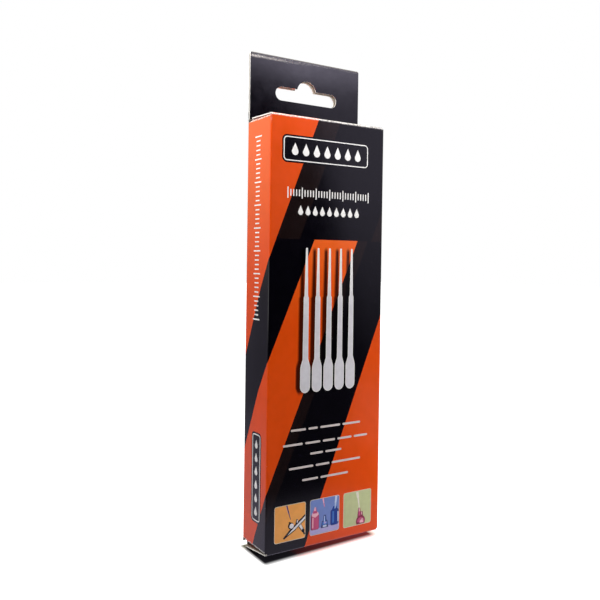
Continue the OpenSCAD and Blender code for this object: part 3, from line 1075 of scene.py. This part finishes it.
def printed_outline(inset, top):
    """Outline of a printed pipette about its tip. It is narrower by inset, and starts at top below the tip."""
    halves = [(max(0.05, half - inset), -max(d, top)) for d, half in PRINTED_HALF]
    side = []
    for (x0, z0), (x1, z1) in zip(halves, halves[1:]):
        steps = max(1, ceil((z0 - z1) / 3))
        side += [(x0 + (x1 - x0) * k / steps, z0 + (z1 - z0) * k / steps) for k in range(steps)]
    widest, half = PRINTED_HALF[-1]
    w, r = half - inset, PRINTED["length"] - widest - inset
    side += [halves[-1], *[(w * cos(a), -widest - r * sin(a)) for a in np.linspace(pi / 12, pi / 2, 6)]]
    return [*side, *[(-x, z) for x, z in reversed(side[:-1])]]


class CARTON_OT_printed_pipettes(bpy.types.Operator):
    """Prints the row of pipettes on the front."""

    bl_idname = "carton.printed_pipettes"
    bl_label = "Print the pipettes"

    def execute(self, context):
        tip = PRINTED["tip"]
        rim = flat_ink("Printed rim", ink("pale_ink"))
        plastic = flat_ink("Printed plastic", ink("plastic_ink"), (ink("pale_ink"), tip - 24, tip - 6))
        for name, loop, lift, made in (
            ("printed_rims", printed_outline(0, 0), LOW_LIFT, rim),
            ("printed_pipettes", printed_outline(0.26, 0.4), HIGH_LIFT, plastic),
        ):
            start, step = (PRINTED["first"], tip), (PRINTED["pitch"], 0)
            row(Carton(), name, loop, lift, start, step, PRINTED["count"], made)
        return {"FINISHED"}


PICTURE_LOW, PICTURE_SIZE, PICTURE_CORNER, PICTURE_RIM = 3.8, 15.1, 0.9, 0.18
PICTURE_COLOURS = {
    "rim": (0.93, 0.88, 0.8),
    "steel": (0.96, 0.94, 0.95),
    "dark": (0.1, 0.08, 0.12),
    "navy": (0.2, 0.19, 0.42),
    "dusk": (0.25, 0.27, 0.5),
    "pink": (0.82, 0.34, 0.52),
    "rose": (0.99, 0.76, 0.82),
    "cobalt": (0.1, 0.25, 0.6),
    "azure": (0.25, 0.46, 0.8),
    "mist": (0.74, 0.71, 0.91),
    "haze": (0.82, 0.88, 0.98),
    "plum": (0.55, 0.2, 0.3),
    "glass": (0.92, 0.9, 0.84),
}
SPRAYER = [
    ("navy", slanted(5.8, 14.9, 7.7, 8.8, 0.36, 0.14)),
    ("rose", slanted(5.45, 14.8, 6.6, 11.2, 0.07, 0.05)),
    ("dark", slanted(11.6, 6.6, 14.2, 2.6, 0.85, 0.7)),
    ("steel", slanted(11.6, 6.8, 13.7, 3.5, 0.66, 0.46)),
    ("dark", slanted(13.7, 3.8, 14.7, 1.3, 0.44, 0.34)),
    ("dark", [(4.2, 1.5), (4.7, 1.0), (9.6, 3.6), (14.9, 7.4), (14.9, 9.9), (9.0, 5.6), (7.2, 4.3)]),
    ("steel", [(6.1, 2.3), (9.5, 4.0), (14.9, 7.9), (14.9, 9.0), (9.3, 4.9)]),
    ("dark", disc(7.9, 6.1, 1.4)),
    ("steel", disc(8.3, 5.95, 1.05)),
    ("dark", disc(7.3, 7.5, 0.42, 10)),
    ("dark", slanted(10.7, 6.6, 11.0, 8.3, 0.5, 0.42)),
    ("steel", slanted(11.0, 6.9, 11.2, 8.0, 0.28, 0.22)),
]
BOTTLES = [
    ("mist", [(0.25, 0.3), (14.85, 0.3), (14.85, 2.9), (0.25, 2.4)]),
    ("plum", rounded(0.5, 2.1, 4.6, 8.9, 0.7)),
    ("pink", rounded(1.0, 2.3, 4.45, 8.9, 0.6)),
    ("rose", slanted(1.5, 3.0, 1.5, 7.4, 0.28, 0.24)),
    ("rose", [(0.8, 8.2), (2.6, 7.3), (4.5, 8.4), (4.0, 9.6), (1.2, 9.6)]),
    ("pink", slanted(2.5, 9.1, 2.6, 11.6, 1.15, 0.4)),
    ("rose", slanted(2.45, 10.2, 2.55, 11.8, 0.5, 0.3)),
    ("dusk", rounded(10.5, 2.4, 14.6, 9.2, 0.8)),
    ("cobalt", rounded(10.8, 2.6, 14.3, 9.0, 0.7)),
    ("cobalt", slanted(12.6, 8.6, 12.7, 10.6, 1.7, 0.7)),
    ("dusk", arc(14.0, 8.4, 0.9, -60, 120, 8)),
    ("azure", slanted(11.9, 3.4, 11.9, 8.4, 0.5, 0.45)),
    ("haze", slanted(14.45, 3.6, 14.4, 8.0, 0.22, 0.28)),
    ("haze", slanted(12.7, 9.5, 13.4, 14.8, 0.3, 0.55)),
    ("azure", slanted(12.55, 9.4, 12.8, 12.0, 0.14, 0.1)),
    ("rose", slanted(6.5, 14.8, 7.3, 11.2, 0.34, 0.14)),
    ("pink", slanted(7.0, 12.8, 7.35, 11.0, 0.12, 0.08)),
    ("dusk", slanted(7.5, 2.2, 7.5, 5.2, 1.9, 1.35)),
    ("dusk", slanted(7.5, 5.0, 7.55, 7.6, 1.0, 0.5)),
    ("azure", slanted(7.4, 5.0, 7.5, 7.3, 0.62, 0.3)),
    ("haze", slanted(7.35, 4.8, 7.4, 7.2, 0.26, 0.14)),
    ("azure", slanted(7.5, 3.4, 7.5, 4.8, 1.4, 1.1)),
    ("mist", slanted(7.7, 3.9, 7.7, 4.7, 0.7, 0.6)),
    ("haze", rounded(6.6, 2.5, 8.5, 3.3, 0.3)),
]
FLASK = [
    ("glass", slanted(7.85, 12.4, 8.75, 7.0, 0.4, 0.24)),
    ("glass", slanted(7.35, 14.6, 7.85, 12.0, 0.66, 0.56)),
    ("plum", slanted(8.8, 2.6, 8.6, 7.4, 1.25, 0.5)),
    ("pink", slanted(8.85, 3.2, 8.6, 7.0, 0.6, 0.24)),
    ("rose", slanted(8.7, 5.8, 8.62, 7.3, 0.24, 0.2)),
    ("plum", slanted(10.0, 2.4, 10.0, 5.6, 0.85, 0.55)),
    ("rose", slanted(9.95, 4.2, 9.95, 5.4, 0.26, 0.22)),
    ("plum", arc(9.4, 1.5, 2.5, -30, 210, 18)),
    ("pink", arc(9.5, 1.15, 1.95, -24, 180, 14)),
    ("rose", arc(9.9, 1.0, 0.95, -20, 200, 10)),
    ("glass", disc(10.3, 2.1, 0.34, 8)),
]


class CARTON_OT_pictures(bpy.types.Operator):
    """Prints the three small pictures at the foot of the front: a sprayer and a dropper, bottles, and a flask."""

    bl_idname = "carton.pictures"
    bl_label = "Print the pictures"

    def execute(self, context):
        carton = Carton()
        low, size, corner, rim = PICTURE_LOW, PICTURE_SIZE, PICTURE_CORNER, PICTURE_RIM
        colours = {name: linear(c) for name, c in PICTURE_COLOURS.items()}
        colours |= {name: ink(name) for name in ("ochre", "blue", "green")}
        inks = [flat_ink("Picture " + name, colour) for name, colour in colours.items()]
        slots = {name: k for k, name in enumerate(colours)}
        for name, left, ground, shapes in (
            ("picture_sprayer", -24.9, "ochre", SPRAYER),
            ("picture_bottles", -7.6, "blue", BOTTLES),
            ("picture_flask", 9.7, "green", FLASK),
        ):
            right, high = left + size, low + size
            sheets = Sheets()
            sheets.patch(carton.body, rounded(left, low, right, high, corner), slots["rim"], 0.02)
            inner = rounded(left + rim, low + rim, right - rim, high - rim, corner - 0.1)
            sheets.patch(carton.body, inner, slots[ground], LOW_LIFT)
            for k, (shade, loop) in enumerate(shapes):
                loop = [(left + x, low + z) for x, z in loop]
                sheets.patch(carton.body, loop, slots[shade], 0.036 + 0.004 * k)
            printed(sheets.make(name, inks))
        return {"FINISHED"}


# ---------------------------------------------------------------- real pipettes

PIPETTES = 5
RING_SLOPE = 0.1  # half the height over which a graduation ring rises from the stem


def milky_plastic():
    """Thin natural polyethylene: milky, satin, with faint flow marks."""
    made, nodes = material("Milky plastic")
    flow = nodes.noise(nodes.place(), 500, 3, 0.55, tall=0.12)
    plastic = linear(bpy.context.scene.pipette_sizes.plastic)
    nodes.surface(
        {
            "Base Color": nodes.toned((*plastic, 1), nodes.remap(flow, 0.3, 0.7, 0.95, 1.03)),
            "Roughness": nodes.remap(flow, 0.3, 0.7, 0.32, 0.44),
            "Normal": nodes.bump(0.15, 0.08, flow),
            "IOR": 1.51,
            "Subsurface Weight": 0.35,
            "Subsurface Radius": (0.9, 0.9, 1.0),
            "Subsurface Scale": 0.0015,
            "Transmission Weight": 0.25,
        }
    )
    return made


def pipette_profile(total):
    """Radius and height from the foot of the bulb, round the outside, and back down the inside, in millimetres."""

    def get(name):
        return getattr(bpy.context.scene.pipette_sizes, name) / MM

    bulb, stem, root, mouth = (get(name) / 2 for name in ("bulb_d", "stem_d", "tip_root_d", "tip_d"))
    bulb_len, ring_pitch, ring_w, wall = (get(name) for name in ("bulb_len", "ring_pitch", "ring_w", "wall"))
    ring_r = stem + get("ring_out")
    stem_end = total - get("tip_len")

    def side(inset):
        r = bulb * 2 / 3 - inset
        points = [(bulb - inset - r + r * sin(a), inset + r - r * cos(a)) for a in np.linspace(0, pi / 2, 9)]
        for q in np.linspace(0, 1, 9):
            points.append((bulb - inset + (stem - bulb) * ease(q), bulb_len - bulb + bulb * q))
        if not inset:
            count = int((stem_end - stem - ring_w - bulb_len) / ring_pitch)
            for k in range(1, count + 1):
                low = bulb_len + k * ring_pitch - ring_w / 2
                high = low + ring_w
                points += [(stem, low - RING_SLOPE), (ring_r, low + RING_SLOPE)]
                points += [(ring_r, high - RING_SLOPE), (stem, high + RING_SLOPE)]
        for q in np.linspace(0, 1, 5):
            points.append((stem - inset + (root - stem) * ease(q), stem_end - stem + stem * q))
        return [*points, (mouth - inset, total)]

    return [(0, 0), *side(0), *reversed(side(wall)), (0, wall)]


def revolve(name, profile, steps=40):
    """A closed shell from a profile that starts and ends on the axis."""
    points, faces = [Vector((0, 0, profile[0][1]))], []
    for r, z in profile[1:-1]:
        points += [Vector((r * cos(tau * k / steps), r * sin(tau * k / steps), z)) for k in range(steps)]
    points.append(Vector((0, 0, profile[-1][1])))
    last = 1 + (len(profile) - 3) * steps
    for k in range(steps):
        n = (k + 1) % steps
        faces.append((0, 1 + n, 1 + k))
        faces += [(a + k, a + n, a + steps + n, a + steps + k) for a in range(1, last, steps)]
        faces.append((last + k, last + n, len(points) - 1))
    mesh = bpy.data.meshes.new(name)
    mesh.from_pydata([p * MM for p in points], [], faces)
    mesh.polygons.foreach_set("use_smooth", [True] * len(faces))
    mesh.set_sharp_from_angle(angle=radians(50))
    return mesh


class CARTON_OT_pipettes(bpy.types.Operator):
    """Puts the milky plastic pipettes inside the carton, turned by turns."""

    bl_idname = "carton.pipettes"
    bl_label = "Fill with pipettes"

    def execute(self, context):
        plastic = milky_plastic()
        for k in range(1, PIPETTES + 1):
            low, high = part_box(f"pipette_{k}")
            mesh = revolve(f"dropper_{k}", pipette_profile((high.z - low.z) / MM))
            middle = (low + high) / 2
            turn = Matrix.Identity(4) if k % 2 else Matrix.Rotation(pi, 4, "X")
            foot = low.z if k % 2 else high.z
            mesh.transform(Matrix.Translation((middle.x, middle.y, foot)) @ turn)
            mesh.materials.append(plastic)
            piece = new_piece(f"dropper_{k}", mesh)
            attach(piece, "carton")
            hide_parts(f"pipette_{k}")
        return {"FINISHED"}


# ---------------------------------------------------------------- stage, in metres

HALF_W, HALF_D = BODY_W / 2 * MM, BODY_D / 2 * MM
FLOOR_GAP, CARD_GAP = 0.00002, 0.001  # the floor is this far under the carton, and the cards are over the floor
CARD_COLOUR = (0.97, 0.9, 1.15)
LEFT, RIGHT, NEAR, FAR, HIGH = -0.9, 0.9, -0.45, 0.6, 0.9  # where the cards are
LENS, LENS_SHIFT = 41.41, -0.05
CAMERA_PLACE, CAMERA_TURNS = (-0.16564, -0.25333, 0.1202), ((-31.89, "Z"), (89.2, "X"), (0.81, "Z"))
# Name, place, aim, width, height and brightness
LAMPS = [
    ("Top front", (-0.012, -0.035, 0.225), (-0.005, -0.01, 0.165), 0.04, 0.02, 7.0),
    ("Top left", (-0.2, -0.08, 0.4), (0.0, 0.0, 0.12), 0.2, 0.2, 6.4),
    ("Top left near", (-0.14, 0.0, 0.3), (0.0, 0.0, 0.12), 0.12, 0.12, 5.8),
    ("Window", (0.05, -0.08, 0.17), (0.0, 0.0, 0.13), 0.1, 0.1, 1.8),
    ("Low right", (0.09, -0.05, 0.035), (0.0, 0.0, 0.03), 0.08, 0.04, 3.9),
    ("Right", (0.4, 0.12, 0.3), (0.0, 0.0, 0.1), 0.2, 0.2, 6.0),
    ("Back", (0.1, 0.5, 0.35), (0.0, 0.0, 0.1), 0.4, 0.4, 3.5),
]


def rays(nodes, *kinds):
    """1 for rays of the given kinds."""
    path = nodes.node("ShaderNodeLightPath").outputs
    found, *others = (Value(nodes, path[f"Is {kind} Ray"]) for kind in kinds)
    for kind in others:
        found = nodes.math("MAXIMUM", found, kind)
    return found


def background_rays(nodes):
    """1 for rays that show the background: the camera's, and those off and through the object."""
    return rays(nodes, "Camera", "Glossy", "Transmission")


def stage_sheet(name, a, b, made, turned=False):
    """A flat rectangle of the stage along two axes, between two opposite corners. turned turns it over."""
    i, j = (k for k in range(3) if a[k] != b[k])
    c, d = Vector(a), Vector(a)
    c[i], d[j] = b[i], b[j]
    mesh = bpy.data.meshes.new(name)
    mesh.from_pydata([a, c, b, d], [], [(3, 2, 1, 0) if turned else (0, 1, 2, 3)])
    mesh.materials.append(made)
    return new_piece(name, mesh)


def card(name, a, b, brightness, tint=None, turned=False):
    """A stage card that only reflections off the object see. It is clear from behind. tint is its colour higher up."""
    made, nodes = material(name)
    where = nodes.place()
    colour = nodes.faded(where, CARD_COLOUR, tint and (tint, 50, 200))
    shine = nodes.new("ShaderNodeEmission", {"Strength": brightness(nodes, *nodes.xyz(where)), "Color": colour})
    behind = nodes.new("ShaderNodeNewGeometry", out="Backfacing")
    nodes.surface({0: behind, 1: shine, 2: nodes.new("ShaderNodeBsdfTransparent")}, "ShaderNodeMixShader")
    piece = stage_sheet(name, a, b, made, turned)
    piece.visible_camera = piece.visible_diffuse = piece.visible_shadow = piece.visible_transmission = False


def front_card(nodes, x, y, z):
    """Dark ahead and to the left, paler to the right, and bright over the top panel's reflection."""
    level = nodes.remap(x + z * 0.34, 0.35, 0.4, smooth=True) * nodes.remap(z, 0.0, 0.22, 0.12, 0.6)
    middle = nodes.remap(abs(x - 0.28), 0.0, 0.07, 1.2, 0.7)
    upper = nodes.remap(z, 0.33, 0.362, 0.0, 3.0, smooth=True) * middle * nodes.remap(z, 0.37, 0.42, 1.0, 0.5)
    return level + upper + nodes.remap(z, 0.5, 0.6, 0.0, 4.0, smooth=True)


def floor_card(nodes, x, y, z):
    """Bright near the carton, and darker farther off."""
    off = {k: nodes.math("MAXIMUM", abs(v) - half, 0.0) for k, (v, half) in enumerate(((x, HALF_W), (y, HALF_D)))}
    away = nodes.new("ShaderNodeVectorMath", {0: nodes.new("ShaderNodeCombineXYZ", off)}, "Value", operation="LENGTH")
    ahead = nodes.remap(away, 0.03, 0.07, 0.42, 0.03, smooth=True)
    behind = nodes.remap(away, 0.02, 0.3, 0.55, 0.2)
    return nodes.new("ShaderNodeMix", {0: nodes.remap(y, -0.03, 0.0), 2: ahead, 3: behind})


def back_card(nodes, x, y, z):
    """Brightest at the middle of its height."""
    return nodes.remap(z, 0.05, 0.35, 0.22, 1.4, smooth=True) * nodes.remap(z, 0.34, 0.4, 1.0, 0.1, smooth=True)


def side_card(nodes, x, y, z):
    """Brighter higher up."""
    return nodes.remap(z, 0.0, 0.5, 0.3, 1.2)


def top_card(nodes, x, y, z):
    """Bright ahead of the carton."""
    return nodes.remap(y, -0.1, 0.1, 6.0, 0.1, smooth=True)


def softbox(name, place, aim, width, height, brightness):
    """An area lamp whose face has the given brightness."""
    lamp = bpy.data.lights.new(name, "AREA")
    lamp.shape = "RECTANGLE"
    lamp.size, lamp.size_y = width, height
    lamp.energy = brightness * width * height * pi
    piece = new_piece(name, lamp)
    turn = (Vector(aim) - Vector(place)).to_track_quat("-Z", "Y").to_matrix().to_4x4()
    piece.matrix_world = Matrix.Translation(place) @ turn
    piece.visible_camera = piece.visible_glossy = False


def floor(z):
    """A white floor. Just ahead of the carton's foot it holds a painted shadow with a painted dark reflection of the
    print, black under the black and dark red under the orange, and a painted rosy fringe beyond; its own gloss reflects
    the carton too.
    """
    made, nodes = material("Floor")
    x, y, _ = nodes.xyz(nodes.place())
    ahead = x * 0.05 - y
    before_back = nodes.remap(y, HALF_D + 0.001, HALF_D - 0.001, smooth=True)
    # Painted contact shadow: a mask ahead of the carton's foot and close beside its sides, where the floor is painted
    # dark
    shade = nodes.remap(ahead, HALF_D - 0.0015, HALF_D + 0.003, 1.0, 0.0, smooth=True) * before_back
    for low, high in ((-HALF_W - 0.0025, -HALF_W), (HALF_W + 0.0012, HALF_W - 0.0035)):
        shade = shade * nodes.remap(x, low, high, smooth=True)
    # Painted rosy fringe of reflected orange light beyond the painted shadow, under the orange print
    painted_rosy_fringe = nodes.remap(ahead, HALF_D + 0.001, HALF_D + 0.0065, 1.0, 0.0, smooth=True) * before_back
    for low, high in ((-0.017, -0.012), (0.034, 0.031)):
        painted_rosy_fringe = painted_rosy_fringe * nodes.remap(x, low, high)
    black, white = (0, 0, 0, 1), (1, 1, 1, 1)
    # Painted reflection in the painted shadow: black under the black print, dark red under the orange
    painted_shade_and_reflection = nodes.mix(nodes.remap(x, -0.017, 0.025), black, (0.14, 0.014, 0.013, 1))
    painted_shade_and_reflection = nodes.mix(nodes.remap(x, -0.017, -0.012), black, painted_shade_and_reflection)
    white_with_painted_shade = nodes.mix(1.0 - shade, painted_shade_and_reflection, nodes.mix(painted_rosy_fringe, white, (1.0, 0.68, 0.66, 1)))
    # For camera rays the floor's own colour is near black in the painted shadow
    base = nodes.mix(shade * rays(nodes, "Camera"), (0.5, 0.5, 0.5, 1), (0.006, 0.005, 0.007, 1))
    inputs = {"Base Color": base, "Roughness": 0.15, "Emission Color": white_with_painted_shade}
    nodes.surface(inputs | {"Emission Strength": background_rays(nodes)})
    stage_sheet("Floor", (-3, -3, z), (3, 3, z), made)


class CARTON_OT_stage(bpy.types.Operator):
    """Sets the floor, the lamps, the reflection cards, the world and the camera."""

    bl_idname = "carton.stage"
    bl_label = "Set the stage"

    def execute(self, context):
        scene = context.scene
        ground = min(v.co.z for v in bpy.data.objects["bottom_panel"].data.vertices) - FLOOR_GAP
        floor(ground)
        low = ground + CARD_GAP
        card("Front card", (LEFT, NEAR, low), (RIGHT, NEAR, HIGH), front_card, turned=True)
        card("Floor card", (LEFT, NEAR, low), (RIGHT, FAR, low), floor_card)
        card("Back card", (LEFT, FAR, low), (RIGHT, FAR, HIGH), back_card, (1.0, 0.95, 0.62))
        card("Left card", (LEFT, NEAR, low), (LEFT, FAR, HIGH), side_card, turned=True)
        card("Right card", (RIGHT, NEAR, low), (RIGHT, FAR, HIGH), side_card)
        card("Top card", (LEFT, NEAR, HIGH), (RIGHT, FAR, HIGH), top_card, (1.0, 0.9, 0.72), turned=True)
        for lamp in LAMPS:
            softbox(*lamp)
        world = bpy.data.worlds.new("Studio")
        world.use_nodes = True
        world.node_tree.nodes.clear()
        nodes = Nodes(world.node_tree)
        strength = nodes.remap(background_rays(nodes), 0, 1, 0.1, 1.0)
        light = nodes.new("ShaderNodeBackground", {"Color": (1, 1, 1, 1), "Strength": strength})
        nodes.node("ShaderNodeOutputWorld", {"Surface": light})
        scene.world = world
        scene.view_settings.view_transform = "Standard"
        lens = bpy.data.cameras.new("Camera")
        lens.lens, lens.sensor_width, lens.shift_y = LENS, 36, LENS_SHIFT
        lens.clip_start, lens.clip_end = 0.01, 20
        place = Matrix.Translation(CAMERA_PLACE)
        for degrees, axis in CAMERA_TURNS:
            place = place @ Matrix.Rotation(radians(degrees), 4, axis)
        scene.camera = new_piece("Camera", lens)
        scene.camera.matrix_world = place
        return {"FINISHED"}


# ---------------------------------------------------------------- add-on

PROPERTIES = {"carton_sizes": CartonSizes, "print_colours": PrintColours, "pipette_sizes": PipetteSizes}
OPERATORS = [
    CARTON_OT_board,
    CARTON_OT_panels,
    CARTON_OT_marks,
    CARTON_OT_printed_pipettes,
    CARTON_OT_pictures,
    CARTON_OT_pipettes,
    CARTON_OT_stage,
]


class CARTON_PT_panel(bpy.types.Panel):
    """Lists the carton's steps, sizes and colours."""

    bl_idname = "CARTON_PT_panel"
    bl_label = "Hanging carton"
    bl_space_type = "VIEW_3D"
    bl_region_type = "UI"
    bl_category = "Carton"

    def draw(self, context):
        for operator in OPERATORS:
            self.layout.operator(operator.bl_idname)
        for name, group in PROPERTIES.items():
            box = self.layout.box()
            for key in group.__annotations__:
                box.prop(getattr(context.scene, name), key)


def register():
    for cls in (*PROPERTIES.values(), *OPERATORS, CARTON_PT_panel):
        bpy.utils.register_class(cls)
    for name, group in PROPERTIES.items():
        setattr(bpy.types.Scene, name, bpy.props.PointerProperty(type=group))


def unregister():
    for name in PROPERTIES:
        delattr(bpy.types.Scene, name)
    for cls in (CARTON_PT_panel, *reversed(OPERATORS), *reversed(PROPERTIES.values())):
        bpy.utils.unregister_class(cls)


def main():
    register()
    bpy.ops.carton.board()
    bpy.ops.carton.panels()
    bpy.ops.carton.marks()
    bpy.ops.carton.printed_pipettes()
    bpy.ops.carton.pictures()
    bpy.ops.carton.pipettes()
    bpy.ops.carton.stage()


if __name__ == "__main__":
    main()
